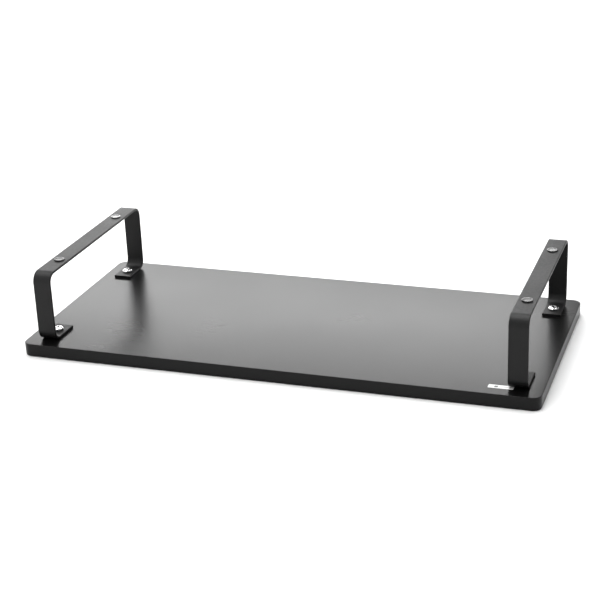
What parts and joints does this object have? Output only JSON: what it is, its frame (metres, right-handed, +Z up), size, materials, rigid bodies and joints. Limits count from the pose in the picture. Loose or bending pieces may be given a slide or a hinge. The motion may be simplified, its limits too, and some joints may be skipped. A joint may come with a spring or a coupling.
{
  "type": "under-desk shelf",
  "caption": "Open shelf for the underside of a desk: a black laminated board hung from bent flat-bar brackets with bolted feet and rubber pads.",
  "frame": {"origin": "centre of the board's underside, which is the centre of the bounding box's bottom face", "axes": "+X to the right along the board, +Y to the back, +Z up from the board to the desk"},
  "size_m": [0.584, 0.267, 0.0971],
  "materials": {
    "particle_board": "raw, pressed chips",
    "black_laminate": "satin, fine grained",
    "black_edge_band": "satin",
    "black_powder_coat": "fine textured powder coat",
    "bright_plated_steel": "bright nickel plate",
    "plated_insert": "zinc plate",
    "black_rubber": "smooth, semi-gloss",
    "blank_label": "white, satin coated"
  },
  "bodies": {
    "root": {"board_core": "particle_board", "top_laminate": "black_laminate", "bottom_laminate": "black_laminate", "edge_band": "black_edge_band", "label": "blank_label", "left_bracket": "black_powder_coat", "right_bracket": "black_powder_coat", "bolt_left_front": "bright_plated_steel", "insert_left_front": "plated_insert", "pad_left_front": "black_rubber", "bolt_left_back": "bright_plated_steel", "insert_left_back": "plated_insert", "pad_left_back": "black_rubber", "bolt_right_front": "bright_plated_steel", "insert_right_front": "plated_insert", "pad_right_front": "black_rubber", "bolt_right_back": "bright_plated_steel", "insert_right_back": "plated_insert", "pad_right_back": "black_rubber"}
  },
  "joints": []
}
